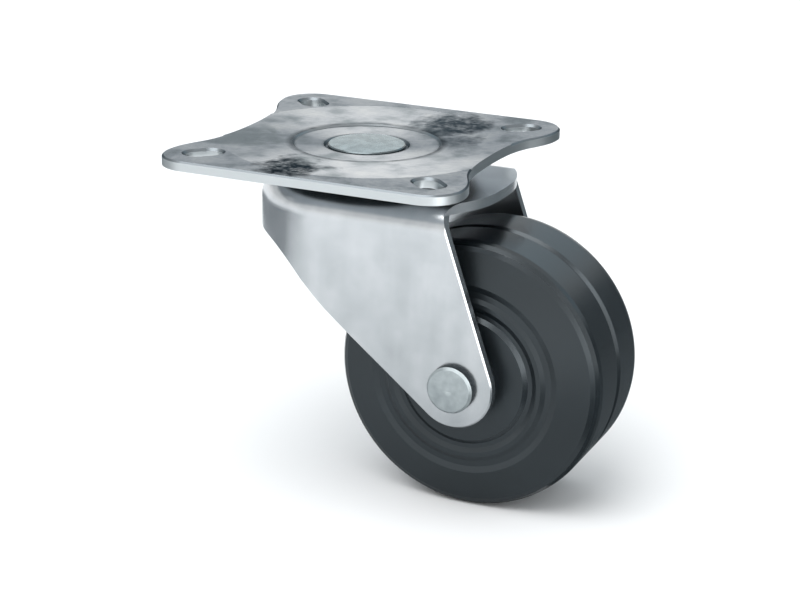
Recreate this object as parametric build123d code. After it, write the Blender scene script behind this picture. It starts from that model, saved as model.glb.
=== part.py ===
from build123d import *
from math import asin, atan2, cos, degrees, hypot, pi, radians, sin
import os

# A swivel furniture castor with a slotted plate, a bent steel fork and a moulded 50 mm wheel.
# Millimetres. The origin is on the swivel axis at the plate's mounting face, +Z is up,
# +X points the way the wheel trails and +Y runs along the axle.

# Driving dimensions of the whole castor
WHEEL_R = 25.0
TRAIL = 25.3
SHEET_T = 1.8
FORK_HALF_W = 17.5
CROWN_TO_TREAD = 5.755
RUN_CLEARANCE = 0.05

# Top plate: straight front and back edges, waisted sides, four lobed corners
PLATE_HALF_DEPTH = 29.3
PLATE_HALF_W = 28.6
PLATE_CORNER_R = 6.3
PLATE_EDGE = 0.3
WAIST_DEPTH = 4.6
FLANK_DEPTH = 2.75
FLANK_Y = 14.0
SLOT_FROM_SIDE = 6.85
SLOT_FROM_FRONT = 7.55
SLOT_W = 4.5
SLOT_L = 7.0
SLOT_BEVEL = 0.45

# Pressed centre of the plate: a wide shallow dish, a step, the ball race and the pin's seat
DISH_MARGIN = 3.0
DISH_FALL = 0.4
STEP_FROM_BALLS = 0.2
STEP_W = 0.4
STEP_FALL = 0.27
RACE_FALL = 0.15
SEAT_PLAY = 0.4
SEAT_WALL = 0.4
SEAT_FALL = 0.45

# Swivel bearing
UPPER_BALLS = 16
UPPER_BALL_R = 2.0
UPPER_TRACK_DEPTH = 0.55
LOWER_BALLS = 14
LOWER_BALL_R = 1.5
LOWER_TRACK_DEPTH = 0.3
BALL_PLAY = 0.3
BALL_SIDES = 12
BALL_BANDS = (-72, -36, 0, 36, 72)
RACE_T = 1.6
RACE_RIM_T = 0.9
RACE_RIM_RISE = 0.9
RACE_RIM_PLAY = 0.4

# Kingpin
PIN_R = 4.5
PIN_HEAD_R = 7.1
PIN_HEAD_T = 0.77
PIN_HEAD_EDGE = 0.2
PIN_CROWNING = 0.12
PIN_SHOULDER = 0.9
PEEN_LAP = 2.4
PEEN_T = 1.5
PEEN_EDGE = 0.6
CROWN_HOLE_GAP = 0.5

# Fork, with the tongue's end as (x, distance in from the fork's side) points and the lower edge
# of the nose skirt as (x, depth below the crown) points
NOSE_X = -1.8
BEND_R = 5.0
SHEET_EDGE = 0.25
TONGUE_SWEEP = ((21.8, 0), (23.7, 3.9), (25.3, 6.7), (26.8, 11.0))
TONGUE_END_X = 27.3
LEG_TOP_X = 22.4
LEG_END_R = 7.5
LEG_SHOULDER = (1.3, 22.9)
SKIRT_SWEEP = ((-2.5, 19.4), (-6.6, 15.1), (-10.9, 11.9))
SKIRT_H = 10.5

# Axle
AXLE_R = 3.0
SLEEVE_T = 1.0
HEAD_LAP = 1.3
HEAD_T = 2.0
HEAD_EDGE = 0.45
HEAD_CROWNING = 0.3

# Wheel, with its shoulders, bulged sides and two soft moulded rings as (depth below the tread,
# distance in from the leg) points
SHOULDER_SWEEP = ((0, 7.0), (0.2, 6.0), (0.75, 5.15), (1.55, 4.7), (2.5, 4.45))
SIDE_SWEEP = ((5.0, 3.75), (7.2, 3.1))
RING_SWEEP = ((8.3, 3.45), (9.4, 3.4), (10.2, 3.0), (11.0, 3.0), (11.9, 3.4), (12.7, 3.4), (13.5, 2.85))
HUB_WALL = 2.6
HUB_EDGE = 0.5
HUB_SIDE_GAP = 0.4
GROOVE_HALF_W = 0.9
GROOVE_FLANK = 0.6
GROOVE_DEPTH = 0.5

# Heights and places that follow from the dimensions above
STEP_OUT_Z = -DISH_FALL
STEP_IN_Z = STEP_OUT_Z - STEP_FALL
RACE_IN_Z = STEP_IN_Z - RACE_FALL
SEAT_Z = RACE_IN_Z - SEAT_FALL
UPPER_BALL_Z = (STEP_IN_Z + RACE_IN_Z) / 2 - SHEET_T + UPPER_TRACK_DEPTH - UPPER_BALL_R
CROWN_Z = UPPER_BALL_Z - UPPER_BALL_R + UPPER_TRACK_DEPTH
CROWN_UNDER_Z = CROWN_Z - SHEET_T
LOWER_BALL_Z = CROWN_UNDER_Z + LOWER_TRACK_DEPTH - LOWER_BALL_R
RACE_Z = LOWER_BALL_Z - LOWER_BALL_R + LOWER_TRACK_DEPTH
RACE_UNDER_Z = RACE_Z - RACE_T
AXLE_Z = CROWN_UNDER_Z - CROWN_TO_TREAD - WHEEL_R
FORK_BOTTOM_Z = AXLE_Z - LEG_END_R
UPPER_PITCH_R = (UPPER_BALL_R + BALL_PLAY / 2) / sin(pi / UPPER_BALLS)
LOWER_PITCH_R = (LOWER_BALL_R + BALL_PLAY / 2) / sin(pi / LOWER_BALLS)
LEG_INNER_Y = FORK_HALF_W - SHEET_T
HUB_HALF_W = LEG_INNER_Y - HUB_SIDE_GAP
SLEEVE_R = AXLE_R + SLEEVE_T
BACK_X = 2 * TONGUE_END_X


def face_of(*edges):
    """Flat face inside a closed run of edges."""
    return make_face(Wire(list(edges)))


def turned(points, domed=False):
    """Solid of revolution about Z from (radius, height) points, the first run a dome if asked."""
    corners = [(r, 0, z) for r, z in points]
    runs = [Line(start, end) for start, end in zip(corners, corners[1:] + corners[:1])]
    if domed:
        runs[0] = TangentArc(corners[0], corners[1], tangent=(1, 0, 0))
    return revolve(face_of(*runs), axis=Axis.Z)


def both_sides(half):
    """Points of a turned profile that is alike above and below z = 0."""
    return half + [(r, -z) for r, z in reversed(half)]


def ball_track(pitch_r, ball_r, z):
    """Ring-shaped cutter for the groove that one circle of balls runs in."""
    return Pos(0, 0, z) * Torus(pitch_r, ball_r + RUN_CLEARANCE)


def waist(side):
    """One concave side edge of the plate."""
    lobe_x = side * PLATE_HALF_W
    lobe_y = side * (PLATE_HALF_DEPTH - PLATE_CORNER_R)
    flank_x = side * (PLATE_HALF_W - FLANK_DEPTH)
    flank_y = side * FLANK_Y
    return Spline(
        (lobe_x, -lobe_y),
        (flank_x, -flank_y),
        (side * (PLATE_HALF_W - WAIST_DEPTH), 0),
        (flank_x, flank_y),
        (lobe_x, lobe_y),
        tangents=[(0, side), (0, side)],
    )


def plate_outline():
    """Outline of the stamped blank."""
    x = PLATE_HALF_W - PLATE_CORNER_R
    y = PLATE_HALF_DEPTH - PLATE_CORNER_R
    return face_of(
        Line((-x, -PLATE_HALF_DEPTH), (x, -PLATE_HALF_DEPTH)),
        CenterArc((x, -y), PLATE_CORNER_R, 270, 90),
        waist(1),
        CenterArc((x, y), PLATE_CORNER_R, 0, 90),
        Line((x, PLATE_HALF_DEPTH), (-x, PLATE_HALF_DEPTH)),
        CenterArc((-x, y), PLATE_CORNER_R, 90, 90),
        waist(-1),
        CenterArc((-x, -y), PLATE_CORNER_R, 180, 90),
    )


def slot_cutter(x, y):
    """Screw slot that runs along the plate's diagonal, with a bevel at the mounting face."""
    slot = extrude(SlotOverall(SLOT_L, SLOT_W), amount=-2 * SHEET_T)
    mouth = extrude(
        SlotOverall(SLOT_L + 2 * SLOT_BEVEL, SLOT_W + 2 * SLOT_BEVEL),
        amount=-SLOT_BEVEL,
        taper=45,
    )
    return Pos(x, y, 0) * Rot(0, 0, degrees(atan2(y, x))) * (slot + mouth)


def top_plate():
    """Stamped plate whose centre is pressed down into an upper ball race."""
    dish_r = PLATE_HALF_DEPTH - DISH_MARGIN
    step_r = UPPER_PITCH_R + UPPER_BALL_R + STEP_FROM_BALLS
    seat_r = PIN_HEAD_R + SEAT_PLAY
    pressed = [
        (dish_r, 0),
        (step_r + STEP_W, STEP_OUT_Z),
        (step_r, STEP_IN_Z),
        (seat_r + SEAT_WALL, RACE_IN_Z),
        (seat_r, SEAT_Z),
        (PIN_R, SEAT_Z),
    ]
    under = [(r, z - SHEET_T) for r, z in reversed(pressed)]
    blank = chamfer(extrude(plate_outline(), amount=-SHEET_T).faces().sort_by(Axis.Z)[-1].edges(), PLATE_EDGE)
    centre = turned(pressed + under) & extrude(plate_outline(), amount=-4 * SHEET_T)
    plate = blank - Cylinder(dish_r, 4 * SHEET_T) + centre
    plate -= ball_track(UPPER_PITCH_R, UPPER_BALL_R, UPPER_BALL_Z)
    slot_x = PLATE_HALF_W - SLOT_FROM_SIDE
    slot_y = PLATE_HALF_DEPTH - SLOT_FROM_FRONT
    for x in (-slot_x, slot_x):
        plate -= slot_cutter(x, -slot_y)
        plate -= slot_cutter(x, slot_y)
    return plate


def kingpin():
    """Headed pin that holds plate and lower race together by its own peened tail."""
    head_z = SEAT_Z + PIN_HEAD_T
    tail_r = PIN_R - PIN_SHOULDER
    tail_z = RACE_UNDER_Z - PEEN_T
    peen_r = tail_r + PEEN_LAP
    return turned([
        (0, head_z),
        (PIN_HEAD_R - PIN_HEAD_EDGE, head_z - PIN_CROWNING),
        (PIN_HEAD_R, head_z - PIN_CROWNING - PIN_HEAD_EDGE),
        (PIN_HEAD_R, SEAT_Z),
        (PIN_R, SEAT_Z),
        (PIN_R, RACE_Z),
        (tail_r, RACE_Z),
        (tail_r, RACE_UNDER_Z),
        (peen_r, RACE_UNDER_Z),
        (peen_r, tail_z + PEEN_EDGE),
        (peen_r - PEEN_EDGE, tail_z),
        (0, tail_z),
    ], domed=True)


def lower_race():
    """Cup washer under the fork crown, with a rim that keeps its balls in."""
    bore_r = PIN_R - PIN_SHOULDER
    cup_r = LOWER_PITCH_R + LOWER_BALL_R + RACE_RIM_PLAY
    race = turned([
        (bore_r, RACE_UNDER_Z),
        (cup_r + RACE_RIM_T, RACE_UNDER_Z),
        (cup_r + RACE_RIM_T, RACE_Z + RACE_RIM_RISE),
        (cup_r, RACE_Z + RACE_RIM_RISE),
        (cup_r, RACE_Z),
        (bore_r, RACE_Z),
    ])
    return race - ball_track(LOWER_PITCH_R, LOWER_BALL_R, LOWER_BALL_Z)


def ball(radius):
    """Bearing ball as a solid of flat faces, kept to a few because thirty of them repeat."""
    rings = []
    for rise in BALL_BANDS:
        ring_r = radius * cos(radians(rise))
        height = radius * sin(radians(rise))
        turns = [2 * pi * side / BALL_SIDES for side in range(BALL_SIDES)]
        rings.append([(ring_r * cos(turn), ring_r * sin(turn), height) for turn in turns])
    faces = [make_face(Polyline(*rings[0], close=True)), make_face(Polyline(*rings[-1], close=True))]
    for low, high in zip(rings, rings[1:]):
        for side in range(BALL_SIDES):
            after = (side + 1) % BALL_SIDES
            faces.append(make_face(Polyline(low[side], low[after], high[after], high[side], close=True)))
    return Solid(Shell([part for face in faces for part in face.faces()]))


def ball_ring(radius, pitch_r, z, count):
    """Full circle of loose balls, each one a solid of its own."""
    return [Rot(0, 0, 360 / count * index) * Pos(pitch_r, 0, z) * ball(radius) for index in range(count)]


def u_outline(half_w):
    """Fork or the room inside it, seen from above: round nose, parallel sides, open back."""
    return face_of(
        Line((NOSE_X, -half_w), (BACK_X, -half_w)),
        Line((BACK_X, -half_w), (BACK_X, half_w)),
        Line((BACK_X, half_w), (NOSE_X, half_w)),
        ThreePointArc((NOSE_X, half_w), (NOSE_X - half_w, 0), (NOSE_X, -half_w)),
    )


def u_block(half_w, top_z, bend_r):
    """Block of that outline from its top down to the legs' ends, with a bent top edge."""
    block = Pos(0, 0, top_z) * extrude(u_outline(half_w), amount=FORK_BOTTOM_Z - top_z)
    top_edges = block.faces().sort_by(Axis.Z)[-1].edges().sort_by(Axis.X)
    return fillet(top_edges[:-1], bend_r)


def behind_tongue():
    """What is cut off behind the shallow round end of the tongue."""
    near = [(x, inset - FORK_HALF_W) for x, inset in TONGUE_SWEEP]
    far = [(x, -y) for x, y in reversed(near)]
    end = face_of(
        Spline(*near, (TONGUE_END_X, 0), *far),
        Line(far[-1], (BACK_X, FORK_HALF_W)),
        Line((BACK_X, FORK_HALF_W), (BACK_X, -FORK_HALF_W)),
        Line((BACK_X, -FORK_HALF_W), near[0]),
    )
    return Pos(0, 0, CROWN_UNDER_Z) * extrude(end, amount=2 * SHEET_T)


def tangent_point(start, side):
    """Where a line from a point touches the round end of the leg, on the given side."""
    dx = TRAIL - start[0]
    dz = AXLE_Z - start[1]
    reach = hypot(dx, dz)
    swing = asin(LEG_END_R / reach)
    heading = atan2(dz, dx) + side * swing
    run = reach * cos(swing)
    return (start[0] + run * cos(heading), start[1] + run * sin(heading))


def side_profile():
    """Side view of crown, nose skirt and legs, as a prism across the fork with its rims broken."""
    front_x = NOSE_X - FORK_HALF_W - SHEET_T
    above_z = CROWN_Z + SHEET_T
    skirt_z = CROWN_Z - SKIRT_H
    shoulder, *sweep = [(x, CROWN_Z - depth) for x, depth in (LEG_SHOULDER, *SKIRT_SWEEP)]
    leg_top = (LEG_TOP_X, CROWN_UNDER_Z)
    leg_back = tangent_point(leg_top, 1)
    leg_front = tangent_point(shoulder, -1)
    lean = (shoulder[0] - leg_front[0], shoulder[1] - leg_front[1])
    side_view = face_of(
        Line((front_x, skirt_z), (front_x, above_z)),
        Line((front_x, above_z), (BACK_X, above_z)),
        Line((BACK_X, above_z), (BACK_X, CROWN_UNDER_Z)),
        Line((BACK_X, CROWN_UNDER_Z), leg_top),
        Line(leg_top, leg_back),
        ThreePointArc(leg_back, (TRAIL, AXLE_Z - LEG_END_R), leg_front),
        Line(leg_front, shoulder),
        Spline(shoulder, *sweep, (front_x, skirt_z), tangents=[lean, (-1, 0)]),
    )
    prism = extrude(Plane.XZ * side_view, amount=FORK_HALF_W, both=True)
    cheeks = prism.faces().sort_by(Axis.Y)
    return chamfer(cheeks[0].edges() + cheeks[-1].edges(), SHEET_EDGE)


def at_axle(shape):
    """Puts a shape made about Z on the wheel's axle, its +Z along +Y."""
    return Pos(TRAIL, 0, AXLE_Z) * Rot(-90, 0, 0) * shape


def fork():
    """Fork bent from one sheet: crown, nose skirt, tongue and two legs."""
    shell = u_block(FORK_HALF_W, CROWN_Z, BEND_R)
    room = u_block(LEG_INNER_Y, CROWN_UNDER_Z, BEND_R - SHEET_T)
    body = (shell - room) & side_profile()
    body -= behind_tongue()
    body -= Pos(0, 0, CROWN_Z) * Cylinder(PIN_R + CROWN_HOLE_GAP, 4 * SHEET_T)
    body -= ball_track(UPPER_PITCH_R, UPPER_BALL_R, UPPER_BALL_Z)
    body -= ball_track(LOWER_PITCH_R, LOWER_BALL_R, LOWER_BALL_Z)
    body -= at_axle(Cylinder(AXLE_R, 4 * FORK_HALF_W))
    return body


def axle_rivet():
    """Rivet through both legs, with a low domed head at each end."""
    head_r = AXLE_R + HEAD_LAP
    end_y = FORK_HALF_W + HEAD_T
    half = turned([
        (0, end_y),
        (head_r - HEAD_EDGE, end_y - HEAD_CROWNING),
        (head_r, end_y - HEAD_CROWNING - HEAD_EDGE),
        (head_r, FORK_HALF_W),
        (AXLE_R, FORK_HALF_W),
        (AXLE_R, 0),
        (0, 0),
    ], domed=True)
    return at_axle(half + mirror(half, about=Plane.XY))


def axle_sleeve():
    """Tube clamped between the legs, which holds them apart and carries the wheel."""
    return at_axle(Cylinder(SLEEVE_R, 2 * LEG_INNER_Y) - Cylinder(AXLE_R, 2 * LEG_INNER_Y))


def wheel():
    """Moulded wheel in one piece: grooved tread, bulged ringed sides and a narrow hub."""
    sweep = [(WHEEL_R - depth, LEG_INNER_Y - inset) for depth, inset in SHOULDER_SWEEP + SIDE_SWEEP + RING_SWEEP]
    hub_r = SLEEVE_R + HUB_WALL
    return at_axle(turned(both_sides([
        (WHEEL_R - GROOVE_DEPTH, GROOVE_HALF_W - GROOVE_FLANK),
        (WHEEL_R, GROOVE_HALF_W),
        *sweep,
        (hub_r, sweep[-1][1]),
        (hub_r, HUB_HALF_W - HUB_EDGE),
        (hub_r - HUB_EDGE, HUB_HALF_W),
        (SLEEVE_R + RUN_CLEARANCE, HUB_HALF_W),
    ])))


def pieces():
    """Every node of the castor with its solid."""
    named = {
        "top_plate": top_plate(),
        "kingpin": kingpin(),
        "lower_race": lower_race(),
        "fork": fork(),
        "axle_rivet": axle_rivet(),
        "axle_sleeve": axle_sleeve(),
        "wheel": wheel(),
    }
    rings = {
        "upper_ball": ball_ring(UPPER_BALL_R, UPPER_PITCH_R, UPPER_BALL_Z, UPPER_BALLS),
        "lower_ball": ball_ring(LOWER_BALL_R, LOWER_PITCH_R, LOWER_BALL_Z, LOWER_BALLS),
    }
    for name, balls in rings.items():
        for number, solid in enumerate(balls, start=1):
            named[f"{name}_{number:02d}"] = solid
    return named


os.makedirs("parts", exist_ok=True)
for node, solid in pieces().items():
    export_step(solid, f"parts/{node}.step")
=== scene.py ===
import math

import bpy
from mathutils import Matrix, Vector


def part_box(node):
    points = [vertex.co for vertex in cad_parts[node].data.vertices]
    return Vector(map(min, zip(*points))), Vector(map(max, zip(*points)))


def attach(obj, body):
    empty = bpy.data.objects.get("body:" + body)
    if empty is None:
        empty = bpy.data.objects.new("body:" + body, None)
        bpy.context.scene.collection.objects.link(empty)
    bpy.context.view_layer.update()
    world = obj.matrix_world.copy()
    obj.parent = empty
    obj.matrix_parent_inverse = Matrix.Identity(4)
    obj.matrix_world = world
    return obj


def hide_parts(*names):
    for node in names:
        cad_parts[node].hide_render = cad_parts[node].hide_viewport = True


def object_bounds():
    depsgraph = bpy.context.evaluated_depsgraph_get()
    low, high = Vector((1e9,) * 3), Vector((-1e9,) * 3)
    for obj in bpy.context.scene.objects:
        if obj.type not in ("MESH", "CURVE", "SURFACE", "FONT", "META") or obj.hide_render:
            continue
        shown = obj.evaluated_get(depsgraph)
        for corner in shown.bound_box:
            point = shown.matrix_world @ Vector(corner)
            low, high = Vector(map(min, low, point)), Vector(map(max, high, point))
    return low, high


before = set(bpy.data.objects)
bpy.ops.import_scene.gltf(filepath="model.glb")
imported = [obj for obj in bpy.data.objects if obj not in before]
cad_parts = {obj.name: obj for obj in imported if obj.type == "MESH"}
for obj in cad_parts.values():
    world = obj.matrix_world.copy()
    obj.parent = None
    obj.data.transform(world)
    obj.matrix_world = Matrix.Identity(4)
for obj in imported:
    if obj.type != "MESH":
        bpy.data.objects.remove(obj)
cad_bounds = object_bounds()

# The top plate is stamped from 1.8 mm steel sheet, pressed down in the middle and zinc plated.
# Four patches beside the pressed centre are darker, shade is painted into its rings, and painted
# shade darkens the underside round the bearing.


def linear(code):
    """Turns an sRGB hex colour into linear RGBA."""
    levels = [int(code[start:start + 2], 16) / 255 for start in (1, 3, 5)]
    return [v / 12.92 if v <= 0.04045 else ((v + 0.055) / 1.055) ** 2.4 for v in levels] + [1.0]


def fill(tree, node, inputs):
    """Links a node's inputs to sockets, or sets them to values."""
    for key, value in inputs.items():
        if isinstance(value, bpy.types.NodeSocket):
            tree.links.new(value, node.inputs[key])
        else:
            node.inputs[key].default_value = value


def add(tree, kind, inputs=None, stops=None, **settings):
    """Adds a node with its settings and inputs, and with (place, hex colour) stops if it is a ramp."""
    node = tree.nodes.new(kind)
    for name, value in settings.items():
        setattr(node, name, value)
    fill(tree, node, inputs or {})
    if stops:
        elements = node.color_ramp.elements
        while len(elements) < len(stops):
            elements.new(0.5)
        for element, (at, code) in zip(elements, stops):
            element.position = at
            element.color = linear(code)
    return node


def new_material(name):
    """Empty node material with its tree and its shader."""
    material = bpy.data.materials.new(name)
    material.use_nodes = True
    tree = material.node_tree
    tree.nodes.clear()
    shader = add(tree, "ShaderNodeBsdfPrincipled")
    add(tree, "ShaderNodeOutputMaterial", {"Surface": shader.outputs["BSDF"]})
    return material, tree, shader


def upwards(tree):
    """How far a surface faces upwards, from -1 to 1."""
    normal = add(tree, "ShaderNodeNewGeometry").outputs["Normal"]
    return add(tree, "ShaderNodeSeparateXYZ", {"Vector": normal}).outputs["Z"]


def finish(node_name, material):
    """Gives a CAD node its material."""
    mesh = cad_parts[node_name].data
    mesh.materials.clear()
    mesh.materials.append(material)


# Plating brightens the flats. Its grain is finer than this, and is drawn as coarse as it shows.
PLATE_GRAIN_MM = 0.9
PLATE_BLOTCH_MM = 2.6
PLATE_CLOUD_MM = 8.0
PLATE_TONES = [(0.34, "#d0d5d7"), (0.5, "#f1f3f5"), (0.66, "#fdfefe")]
PLATE_ROUGHNESS = (0.07, 0.13)
PLATE_GRAIN_DEPTH = 0.000006
PLATE_GRAIN_STRENGTH = 0.5

# Each darker patch has its middle, its reach and its colour. Its outline strays from a round one.
PATCHES_MM = {
    (-4.0, -23.0): (7.0, "#7a7f83"),
    (9.5, 19.0): (8.0, "#8c9398"),
    (15.5, 8.0): (4.0, "#a8aeb2"),
    (-20.5, -7.0): (8.5, "#d4d9da"),
}
PATCH_EDGE_MM = 4.0
PATCH_GRAIN_SHARE = 0.45
PATCH_DARKENING = [(0.22, "#000000"), (0.56, "#ffffff")]
STRAY_MM = 6.0
STRAY_REACH = 0.012

# Shade is painted round the pin's head and in the pressed step, and painted shade on the underside reaches
# out to the lobes.
RING_SPAN_MM = 30.0
RINGS_MM = [(7.3, "#ffffff"), (8.4, "#000000"), (12.8, "#000000"), (13.8, "#ffffff"), (15.0, "#000000")]
CREASE_SHADE = "#5f666b"
UNDERSIDE_SHADE_MM = [(19.5, "#262b2e"), (21.5, "#b6bbbf")]
UNDERSIDE_FROM = -0.7
UNDERSIDE_TO = -0.4

# The sheared rims are duller than the rolled flats, and shade is painted on them: faces that tilt up, such
# as edge breaks and the walls of the pressed steps, are darker than upright rims.
OFF_THE_FLAT = [(0.8, "#ffffff"), (0.95, "#000000")]
RIM_TONES = [(0.4, "#c6cbcd"), (0.6, "#767c80")]
RIM_ROUGHNESS = 0.35

zinc_plate, tree, shader = new_material("bright zinc plate on pressed steel")
place = add(tree, "ShaderNodeTexCoord").outputs["Object"]
grain = add(tree, "ShaderNodeTexNoise", {
    "Vector": place, "Scale": 1000 / PLATE_GRAIN_MM, "Detail": 2.0,
}).outputs["Fac"]
blotch = add(tree, "ShaderNodeTexNoise", {
    "Vector": place, "Scale": 1000 / PLATE_BLOTCH_MM, "Detail": 3.0,
}).outputs["Fac"]
cloud = add(tree, "ShaderNodeTexNoise", {
    "Vector": place, "Scale": 1000 / PLATE_CLOUD_MM, "Detail": 4.0,
}).outputs["Fac"]
tone = add(tree, "ShaderNodeValToRGB", {"Fac": cloud}, PLATE_TONES).outputs["Color"]

mottle = add(tree, "ShaderNodeMix", {
    "Factor": PATCH_GRAIN_SHARE, "A": blotch, "B": grain,
}).outputs["Result"]
stray = add(tree, "ShaderNodeTexNoise", {"Vector": place, "Scale": 1000 / STRAY_MM, "Detail": 3.0})
strayed = add(tree, "ShaderNodeVectorMath", {
    0: stray.outputs["Color"], 1: (STRAY_REACH, STRAY_REACH, 0.0), 2: place,
}, operation="MULTIPLY_ADD").outputs[0]
for (x, y), (reach, dark) in PATCHES_MM.items():
    middle = (x / 1000 + STRAY_REACH / 2, y / 1000 + STRAY_REACH / 2, 0.0)
    away = add(tree, "ShaderNodeVectorMath", {0: strayed, 1: middle}, operation="DISTANCE")
    near = add(tree, "ShaderNodeMapRange", {
        "Value": away.outputs["Value"],
        "From Min": (reach - PATCH_EDGE_MM) / 1000,
        "From Max": (reach + PATCH_EDGE_MM) / 1000,
        "To Min": 1.0,
        "To Max": 0.0,
    }, interpolation_type="SMOOTHSTEP").outputs["Result"]
    speck = add(tree, "ShaderNodeMath", {0: mottle, 1: near}, operation="MULTIPLY").outputs[0]
    # each patch darkens the plate towards its listed colour, with a grainy, straying outline
    darkened = add(tree, "ShaderNodeValToRGB", {"Fac": speck}, PATCH_DARKENING).outputs["Color"]
    tone = add(tree, "ShaderNodeMix", {"Factor": darkened, "A": tone, "B": linear(dark)},
               data_type="RGBA").outputs["Result"]

flat = add(tree, "ShaderNodeVectorMath", {0: place, 1: (1.0, 1.0, 0.0)}, operation="MULTIPLY").outputs[0]
from_pin = add(tree, "ShaderNodeVectorMath", {0: flat}, operation="LENGTH").outputs["Value"]
share = add(tree, "ShaderNodeMath", {0: from_pin, 1: 1000 / RING_SPAN_MM}, operation="MULTIPLY").outputs[0]
ring_stops, underside_shade_stops = [
    [(radius / RING_SPAN_MM, code) for radius, code in stops] for stops in (RINGS_MM, UNDERSIDE_SHADE_MM)
]
ring = add(tree, "ShaderNodeValToRGB", {"Fac": share}, ring_stops).outputs["Color"]
# painted shade: the creases round the pin's head and in the pressed step are darkened, broken up by the
# blotch noise
painted_crease_shade = add(tree, "ShaderNodeMath", {0: ring, 1: blotch}, operation="MULTIPLY").outputs[0]
tone = add(tree, "ShaderNodeMix", {"Factor": painted_crease_shade, "A": tone, "B": linear(CREASE_SHADE)},
           data_type="RGBA").outputs["Result"]

facing = upwards(tree)
sheared_and_shaded = add(tree, "ShaderNodeValToRGB", {"Fac": facing}, OFF_THE_FLAT).outputs["Color"]
# painted shade on the rims: tilted edge breaks and step walls come out darker than upright faces
rim_tone_and_shade = add(tree, "ShaderNodeValToRGB", {"Fac": facing}, RIM_TONES).outputs["Color"]
tone = add(tree, "ShaderNodeMix", {"Factor": sheared_and_shaded, "A": tone, "B": rim_tone_and_shade},
           data_type="RGBA").outputs["Result"]
# painted shade: surfaces facing down are darkened round the bearing and lighter out towards the lobes
under = add(tree, "ShaderNodeMapRange", {
    "Value": facing, "From Min": UNDERSIDE_FROM, "From Max": UNDERSIDE_TO, "To Min": 1.0, "To Max": 0.0,
}).outputs["Result"]
painted_underside_shade = add(tree, "ShaderNodeValToRGB", {"Fac": share}, underside_shade_stops).outputs["Color"]
tone = add(tree, "ShaderNodeMix", {"Factor": under, "A": tone, "B": painted_underside_shade},
           data_type="RGBA").outputs["Result"]

dull = add(tree, "ShaderNodeMapRange", {
    "Value": grain, "To Min": PLATE_ROUGHNESS[0], "To Max": PLATE_ROUGHNESS[1],
}).outputs["Result"]
rough = add(tree, "ShaderNodeMix", {"Factor": sheared_and_shaded, "A": dull, "B": RIM_ROUGHNESS}).outputs["Result"]
bump = add(tree, "ShaderNodeBump", {
    "Height": grain, "Distance": PLATE_GRAIN_DEPTH, "Strength": PLATE_GRAIN_STRENGTH,
}).outputs["Normal"]
fill(tree, shader, {
    "Base Color": tone, "Specular Tint": tone, "Roughness": rough, "Normal": bump, "Metallic": 1.0,
})
finish("top_plate", zinc_plate)

# The kingpin is a headed steel pin, zinc plated, with its flat head turned bright. It passes
# through the plate, the fork and the lower race, and its tail is peened over. The turning leaves
# fine streaks on the head, and shade is painted on the head's edge and the pin's sides, which are coloured
# darker.
PIN_STREAK_MM = 2.0
PIN_TONES = [(0.3, "#a0abad"), (0.7, "#c3cecf")]
PIN_SIDE_SHADE = "#666e71"
PIN_ROUGHNESS = (0.2, 0.34)

turned_zinc, tree, shader = new_material("turned and zinc-plated steel")
place = add(tree, "ShaderNodeTexCoord").outputs["Object"]
streaks = add(tree, "ShaderNodeTexNoise", {
    "Vector": place, "Scale": 1000 / PIN_STREAK_MM, "Detail": 3.0,
}).outputs["Fac"]
tone = add(tree, "ShaderNodeValToRGB", {"Fac": streaks}, PIN_TONES).outputs["Color"]
# painted shade: faces off the flat, the head's edge and the pin's sides, are darkened
edge_shade = add(tree, "ShaderNodeValToRGB", {"Fac": upwards(tree)}, OFF_THE_FLAT).outputs["Color"]
tone = add(tree, "ShaderNodeMix", {"Factor": edge_shade, "A": tone, "B": linear(PIN_SIDE_SHADE)},
           data_type="RGBA").outputs["Result"]
rough = add(tree, "ShaderNodeMapRange", {
    "Value": streaks, "To Min": PIN_ROUGHNESS[0], "To Max": PIN_ROUGHNESS[1],
}).outputs["Result"]
fill(tree, shader, {"Base Color": tone, "Roughness": rough, "Metallic": 1.0})
finish("kingpin", turned_zinc)

# The bearing balls are polished steel, so they mirror what is round them. They run loose in two
# full circles, one between plate and fork crown and a smaller one between crown and lower race.
BALL_RINGS = {"upper": 16, "lower": 14}
BALL_SEGMENTS = 32
BALL_FILM_MM = 1.5
BALL_TONE = "#b9bdc1"
BALL_ROUGHNESS = (0.08, 0.16)

ball_steel, tree, shader = new_material("polished bearing steel")
place = add(tree, "ShaderNodeTexCoord").outputs["Object"]
film = add(tree, "ShaderNodeTexNoise", {
    "Vector": place, "Scale": 1000 / BALL_FILM_MM, "Detail": 3.0,
}).outputs["Fac"]
rough = add(tree, "ShaderNodeMapRange", {
    "Value": film, "To Min": BALL_ROUGHNESS[0], "To Max": BALL_ROUGHNESS[1],
}).outputs["Result"]
fill(tree, shader, {"Base Color": linear(BALL_TONE), "Roughness": rough, "Metallic": 1.0})


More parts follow.
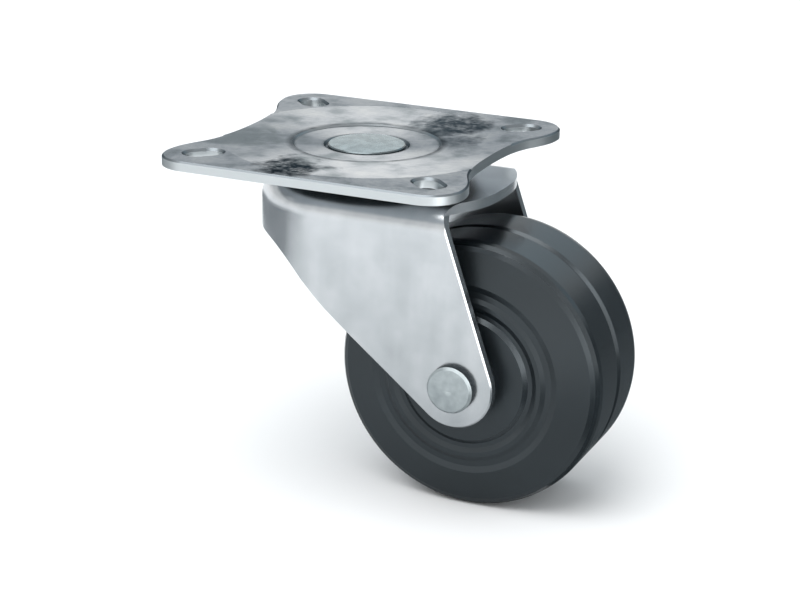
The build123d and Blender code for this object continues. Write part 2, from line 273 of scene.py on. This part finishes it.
def ball_ring_tree(material):
    """Geometry Nodes that set smooth balls round a circle."""
    tree = bpy.data.node_groups.new("ring of balls", "GeometryNodeTree")
    sockets = {}
    for name, kind in (("Count", "NodeSocketInt"), ("Pitch Radius", "NodeSocketFloat"),
                       ("Ball Radius", "NodeSocketFloat"), ("Height", "NodeSocketFloat")):
        sockets[name] = tree.interface.new_socket(name, in_out="INPUT", socket_type=kind).identifier
    tree.interface.new_socket("Geometry", in_out="OUTPUT", socket_type="NodeSocketGeometry")
    sizes = add(tree, "NodeGroupInput").outputs
    circle = add(tree, "GeometryNodeMeshCircle", {
        "Vertices": sizes["Count"], "Radius": sizes["Pitch Radius"],
    })
    sphere = add(tree, "GeometryNodeMeshUVSphere", {
        "Radius": sizes["Ball Radius"], "Segments": BALL_SEGMENTS, "Rings": BALL_SEGMENTS // 2,
    })
    balls = add(tree, "GeometryNodeInstanceOnPoints", {
        "Points": circle.outputs["Mesh"], "Instance": sphere.outputs["Mesh"],
    })
    lift = add(tree, "ShaderNodeCombineXYZ", {"Z": sizes["Height"]})
    raised = add(tree, "GeometryNodeTransform", {
        "Geometry": balls.outputs["Instances"], "Translation": lift.outputs["Vector"],
    })
    solid = add(tree, "GeometryNodeRealizeInstances", {"Geometry": raised.outputs["Geometry"]})
    smooth = add(tree, "GeometryNodeSetShadeSmooth", {"Geometry": solid.outputs["Geometry"]})
    painted = add(tree, "GeometryNodeSetMaterial", {
        "Geometry": smooth.outputs["Geometry"], "Material": material,
    })
    add(tree, "NodeGroupOutput", {"Geometry": painted.outputs["Geometry"]})
    return tree, sockets


def grown(name, tree, sizes):
    """Plain mesh object from a Geometry Nodes tree, with its sizes set by socket identifier."""
    carrier = bpy.data.objects.new(name, bpy.data.meshes.new(name))
    bpy.context.collection.objects.link(carrier)
    growth = carrier.modifiers.new("growth", "NODES")
    growth.node_group = tree
    for identifier, value in sizes.items():
        growth[identifier] = value
    evaluated = carrier.evaluated_get(bpy.context.evaluated_depsgraph_get())
    mesh = bpy.data.meshes.new_from_object(evaluated)
    carrier.modifiers.remove(growth)
    carrier.data = mesh
    return carrier


ring_tree, ring_sockets = ball_ring_tree(ball_steel)
for level, count in BALL_RINGS.items():
    low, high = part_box(f"{level}_ball_01")
    middle = (low + high) / 2
    ring = grown(f"{level}_ball_circle", ring_tree, {
        ring_sockets["Count"]: count,
        ring_sockets["Pitch Radius"]: middle.x,
        ring_sockets["Ball Radius"]: (high.x - low.x) / 2,
        ring_sockets["Height"]: middle.z,
    })
    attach(ring, f"{level}_balls")
    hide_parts(*[f"{level}_ball_{number:02d}" for number in range(1, count + 1)])

# The lower race is a hardened cup washer, pressed up against the lower balls by the kingpin's
# peened tail. Its heat treatment leaves a cloudy grey scale under a light film of oil.
RACE_SCALE_MM = 2.5
RACE_TONES = [(0.3, "#5c6164"), (0.7, "#7d8386")]
RACE_ROUGHNESS = (0.3, 0.42)

race_steel, tree, shader = new_material("hardened steel with a light oil film")
place = add(tree, "ShaderNodeTexCoord").outputs["Object"]
scale = add(tree, "ShaderNodeTexNoise", {
    "Vector": place, "Scale": 1000 / RACE_SCALE_MM, "Detail": 3.0,
}).outputs["Fac"]
tone = add(tree, "ShaderNodeValToRGB", {"Fac": scale}, RACE_TONES).outputs["Color"]
rough = add(tree, "ShaderNodeMapRange", {
    "Value": scale, "To Min": RACE_ROUGHNESS[0], "To Max": RACE_ROUGHNESS[1],
}).outputs["Result"]
fill(tree, shader, {"Base Color": tone, "Roughness": rough, "Metallic": 1.0})
finish("lower_race", race_steel)

# The fork is one blank of 1.8 mm steel sheet: the crown and its bent-down skirt, the tongue and
# the legs. It was bent before plating, so the zinc is even, with faint upright cloudy streaks,
# and shade is painted on its underside, which is coloured dark.
FORK_CLOUD_MM = 7.0
FORK_STREAK_MM = 5.0
FORK_STREAK_SQUEEZE = (1.0, 1.0, 0.15)
FORK_STREAK_SHARE = 0.4
FORK_TONES = [(0.36, "#b9bdc0"), (0.5, "#c3c7ca"), (0.64, "#cfd2d5")]
FORK_UNDERSIDE_SHADE = "#33383b"
FORK_UNDERSIDE_FROM = -0.9
FORK_UNDERSIDE_TO = -0.5
FORK_ROUGHNESS = (0.18, 0.3)
FORK_GRAIN_MM = 0.8
FORK_GRAIN_DEPTH = 0.00001
FORK_GRAIN_STRENGTH = 0.4

fork_zinc, tree, shader = new_material("bright zinc plate on bent sheet steel")
place = add(tree, "ShaderNodeTexCoord").outputs["Object"]
stretched = add(tree, "ShaderNodeMapping", {"Vector": place, "Scale": FORK_STREAK_SQUEEZE}).outputs["Vector"]
streak = add(tree, "ShaderNodeTexNoise", {
    "Vector": stretched, "Scale": 1000 / FORK_STREAK_MM, "Detail": 2.0,
}).outputs["Fac"]
cloud = add(tree, "ShaderNodeTexNoise", {
    "Vector": place, "Scale": 1000 / FORK_CLOUD_MM, "Detail": 4.0,
}).outputs["Fac"]
mottle = add(tree, "ShaderNodeMix", {
    "Factor": FORK_STREAK_SHARE, "A": cloud, "B": streak,
}).outputs["Result"]
grain = add(tree, "ShaderNodeTexNoise", {
    "Vector": place, "Scale": 1000 / FORK_GRAIN_MM, "Detail": 3.0,
}).outputs["Fac"]
tone = add(tree, "ShaderNodeValToRGB", {"Fac": mottle}, FORK_TONES).outputs["Color"]
# painted shade: surfaces facing down, such as the crown's underside, are darkened
under = add(tree, "ShaderNodeMapRange", {
    "Value": upwards(tree),
    "From Min": FORK_UNDERSIDE_FROM,
    "From Max": FORK_UNDERSIDE_TO,
    "To Min": 1.0,
    "To Max": 0.0,
}).outputs["Result"]
tone = add(tree, "ShaderNodeMix", {"Factor": under, "A": tone, "B": linear(FORK_UNDERSIDE_SHADE)},
           data_type="RGBA").outputs["Result"]
rough = add(tree, "ShaderNodeMapRange", {
    "Value": mottle, "To Min": FORK_ROUGHNESS[0], "To Max": FORK_ROUGHNESS[1],
}).outputs["Result"]
bump = add(tree, "ShaderNodeBump", {
    "Height": grain, "Distance": FORK_GRAIN_DEPTH, "Strength": FORK_GRAIN_STRENGTH,
}).outputs["Normal"]
fill(tree, shader, {"Base Color": tone, "Roughness": rough, "Normal": bump, "Metallic": 1.0})
finish("fork", fork_zinc)

# The axle is a steel rivet with two low domed heads, set cold through both legs and a sleeve.
# Both were zinc plated in a barrel, which leaves them satin, a little duller than the sheet,
# and shade is painted on the heads' flanks, which are coloured dark.
RIVET_DENT_MM = 1.6
RIVET_TONES = [(0.3, "#a3abae"), (0.7, "#b9c1c3")]
RIVET_FLANK_SHADE = "#363c40"
FLANK_FACING = [(0.35, "#ffffff"), (0.75, "#000000")]
RIVET_ROUGHNESS = (0.48, 0.58)


def across_axle(tree):
    """How far a surface faces along the axle, from 0 to 1, in the piece's own space."""
    normal = add(tree, "ShaderNodeTexCoord").outputs["Normal"]
    along = add(tree, "ShaderNodeSeparateXYZ", {"Vector": normal}).outputs["Y"]
    return add(tree, "ShaderNodeMath", {0: along}, operation="ABSOLUTE").outputs[0]


barrelled_zinc, tree, shader = new_material("zinc plate on a cold-headed rivet")
place = add(tree, "ShaderNodeTexCoord").outputs["Object"]
dents = add(tree, "ShaderNodeTexNoise", {
    "Vector": place, "Scale": 1000 / RIVET_DENT_MM, "Detail": 4.0,
}).outputs["Fac"]
tone = add(tree, "ShaderNodeValToRGB", {"Fac": dents}, RIVET_TONES).outputs["Color"]
# painted shade: faces not turned along the axle, such as the heads' flanks, are darkened
flank_shade = add(tree, "ShaderNodeValToRGB", {"Fac": across_axle(tree)}, FLANK_FACING).outputs["Color"]
tone = add(tree, "ShaderNodeMix", {"Factor": flank_shade, "A": tone, "B": linear(RIVET_FLANK_SHADE)},
           data_type="RGBA").outputs["Result"]
rough = add(tree, "ShaderNodeMapRange", {
    "Value": dents, "To Min": RIVET_ROUGHNESS[0], "To Max": RIVET_ROUGHNESS[1],
}).outputs["Result"]
fill(tree, shader, {"Base Color": tone, "Roughness": rough, "Metallic": 1.0})
finish("axle_rivet", barrelled_zinc)
finish("axle_sleeve", barrelled_zinc)

# The wheel is moulded in one piece from charcoal nylon. The mould leaves its sides satin and its
# tread a little smoother. Its skin's grain is finer than this, and is drawn as coarse as it shows.
WHEEL_CLOUD_MM = 12.0
WHEEL_GRAIN_MM = 0.35
WHEEL_GRAIN_DEPTH = 0.00002
WHEEL_GRAIN_STRENGTH = 0.3
WHEEL_TONES = [(0.3, "#0d1215"), (0.7, "#13191d")]
SIDE_FACING = [(0.85, "#000000"), (0.97, "#ffffff")]
SIDE_ROUGHNESS = (0.34, 0.42)
TREAD_ROUGHNESS = 0.26
NYLON_IOR = 1.53
NYLON_SPECULAR = 0.68
NYLON_TINT = "#ecf8ff"

nylon, tree, shader = new_material("moulded charcoal nylon")
place = add(tree, "ShaderNodeTexCoord").outputs["Object"]
cloud = add(tree, "ShaderNodeTexNoise", {
    "Vector": place, "Scale": 1000 / WHEEL_CLOUD_MM, "Detail": 2.0,
}).outputs["Fac"]
grain = add(tree, "ShaderNodeTexNoise", {
    "Vector": place, "Scale": 1000 / WHEEL_GRAIN_MM, "Detail": 2.0,
}).outputs["Fac"]
tone = add(tree, "ShaderNodeValToRGB", {"Fac": cloud}, WHEEL_TONES).outputs["Color"]
side = add(tree, "ShaderNodeValToRGB", {"Fac": across_axle(tree)}, SIDE_FACING).outputs["Color"]
satin = add(tree, "ShaderNodeMapRange", {
    "Value": cloud, "To Min": SIDE_ROUGHNESS[0], "To Max": SIDE_ROUGHNESS[1],
}).outputs["Result"]
rough = add(tree, "ShaderNodeMix", {"Factor": side, "A": TREAD_ROUGHNESS, "B": satin}).outputs["Result"]
bump = add(tree, "ShaderNodeBump", {
    "Height": grain, "Distance": WHEEL_GRAIN_DEPTH, "Strength": WHEEL_GRAIN_STRENGTH,
}).outputs["Normal"]
fill(tree, shader, {
    "Base Color": tone,
    "Roughness": rough,
    "Normal": bump,
    "IOR": NYLON_IOR,
    "Specular IOR Level": NYLON_SPECULAR,
    "Specular Tint": linear(NYLON_TINT),
})
finish("wheel", nylon)

# The castor stands on a plain white table top.
FLOOR_HALF = 4.0
FLOOR_TONE = "#f4f5f6"
MATT_ROUGHNESS = 0.9
FLOOR_SPECULAR = 0.1


def sheet_mesh(name, corners):
    """Flat mesh object through its corners, in metres."""
    mesh = bpy.data.meshes.new(name)
    mesh.from_pydata(corners, [], [tuple(range(len(corners)))])
    piece = bpy.data.objects.new(name, mesh)
    bpy.context.collection.objects.link(piece)
    return piece


floor_z = cad_bounds[0][2]
table = sheet_mesh("table_top", [
    (side_x * FLOOR_HALF, side_y * FLOOR_HALF, floor_z)
    for side_x, side_y in ((-1, -1), (1, -1), (1, 1), (-1, 1))
])
table_white, tree, shader = new_material("matt white table top")
fill(tree, shader, {
    "Base Color": linear(FLOOR_TONE), "Roughness": MATT_ROUGHNESS, "Specular IOR Level": FLOOR_SPECULAR,
})
table.data.materials.append(table_white)

# The studio is a white tent, brightest near the table. Only behind the castor it has a grey strip,
# which the flat of the plate mirrors. A broad soft key light hangs overhead.
TENT = [(0.12, "#ffffff"), (0.155, "#dcdddd")]
STRIP = [
    (0.0, "#ffffff"), (0.12, "#ffffff"), (0.155, "#dcdddd"), (0.205, "#dcdddd"),
    (0.235, "#80868b"), (0.279, "#80868b"), (0.297, "#dcdddd"), (0.36, "#dcdddd"),
    (0.42, "#c8dfeb"), (0.55, "#c8dfeb"), (0.65, "#dcdddd"),
]
STRIP_SIDES = [(0.2, "#000000"), (0.4, "#ffffff")]
TENT_STRENGTH = 1.2
KEY_ENERGY = 1.8
KEY_SPREAD_DEGREES = 50
KEY_AIM = Vector((0.15, 0.45, -1.0))

world = bpy.data.worlds.new("white tent")
bpy.context.scene.world = world
world.use_nodes = True
tree = world.node_tree
tree.nodes.clear()
direction = add(tree, "ShaderNodeTexCoord").outputs["Generated"]
parts = add(tree, "ShaderNodeSeparateXYZ", {"Vector": direction}).outputs
cloth = add(tree, "ShaderNodeMix", {
    "Factor": add(tree, "ShaderNodeValToRGB", {"Fac": parts["Y"]}, STRIP_SIDES).outputs["Color"],
    "A": add(tree, "ShaderNodeValToRGB", {"Fac": parts["Z"]}, TENT).outputs["Color"],
    "B": add(tree, "ShaderNodeValToRGB", {"Fac": parts["Z"]}, STRIP).outputs["Color"],
}, data_type="RGBA").outputs["Result"]
glow = add(tree, "ShaderNodeBackground", {"Color": cloth, "Strength": TENT_STRENGTH})
add(tree, "ShaderNodeOutputWorld", {"Surface": glow.outputs["Background"]})

key = bpy.data.lights.new("overhead key light", "SUN")
key.energy = KEY_ENERGY
key.angle = math.radians(KEY_SPREAD_DEGREES)
lamp = bpy.data.objects.new("overhead_key", key)
bpy.context.collection.objects.link(lamp)
lamp.rotation_euler = KEY_AIM.to_track_quat("-Z", "Y").to_euler()

# Matt cards lie on the table and stand behind it on the right, and a narrow softbox stands in front
# on the right. Only reflections see them: the fork's nose and all that faces right darken, the
# leg and the wheel darken towards the table, and the tyre's shoulder gets its bright line.
CARDS = {
    "left_card": ([(-330, -170, 0), (-130, -170, 0), (-130, 170, 0), (-330, 170, 0)], "#72777b", 0.0),
    "right_card": ([(60, -90, 0), (330, -90, 0), (330, 330, 0), (42, 330, 0), (42, -8, 0), (60, -8, 0)],
                   "#5a6165", 0.0),
    "right_wall": ([(30, 330, 0), (330, 120, 0), (330, 120, 110), (30, 330, 120)], "#5a6165", 0.0),
    "near_card": ([(-130, -70, 0), (60, -70, 0), (60, -8, 0), (-130, -8, 0)], "#bdc0c2", 0.0),
    "middle_card": ([(-160, -125, 0), (60, -125, 0), (60, -70, 0), (-160, -70, 0)], "#dadcdd", 0.0),
    "softbox": ([(190, -190, 10), (290, -70, 10), (230, -50, 260), (130, -170, 260)], "#ffffff", 2.6),
}
CARD_LIFT = 0.0005

for name, (outline, colour, strength) in CARDS.items():
    card = sheet_mesh(name, [
        (x / 1000, y / 1000, floor_z + CARD_LIFT + rise / 1000) for x, y, rise in outline
    ])
    card.visible_camera = False
    card.visible_diffuse = False
    card.visible_shadow = False
    board, tree, shader = new_material(f"matt board, {name}")
    fill(tree, shader, {
        "Base Color": linear(colour),
        "Roughness": MATT_ROUGHNESS,
        "Emission Color": linear(colour),
        "Emission Strength": strength,
    })
    card.data.materials.append(board)

bpy.context.scene.view_settings.view_transform = "Standard"

# The camera stands a little right of the castor's near leg and looks down on the plate.
CAMERA_PLACE = Vector((0.1548, -0.3332, 0.0944))
YAW, PITCH, ROLL = (math.radians(angle) for angle in (23.89, 18.81, 1.11))
FOCAL_PX = 2075.2
FRAME_PX = 800
SENSOR_MM = 36.0
NEAREST = 0.01

camera = bpy.data.cameras.new("camera")
camera.sensor_width = SENSOR_MM
camera.lens = SENSOR_MM * FOCAL_PX / FRAME_PX
camera.clip_start = NEAREST
viewer = bpy.data.objects.new("camera", camera)
bpy.context.collection.objects.link(viewer)
ahead = Vector((-math.sin(YAW) * math.cos(PITCH), math.cos(YAW) * math.cos(PITCH), -math.sin(PITCH)))
level = Vector((math.cos(YAW), math.sin(YAW), 0.0))
right = level * math.cos(ROLL) + level.cross(ahead) * math.sin(ROLL)
up = right.cross(ahead)
viewer.matrix_world = Matrix((
    (right.x, up.x, -ahead.x, CAMERA_PLACE.x),
    (right.y, up.y, -ahead.y, CAMERA_PLACE.y),
    (right.z, up.z, -ahead.z, CAMERA_PLACE.z),
    (0.0, 0.0, 0.0, 1.0),
))
bpy.context.scene.camera = viewer
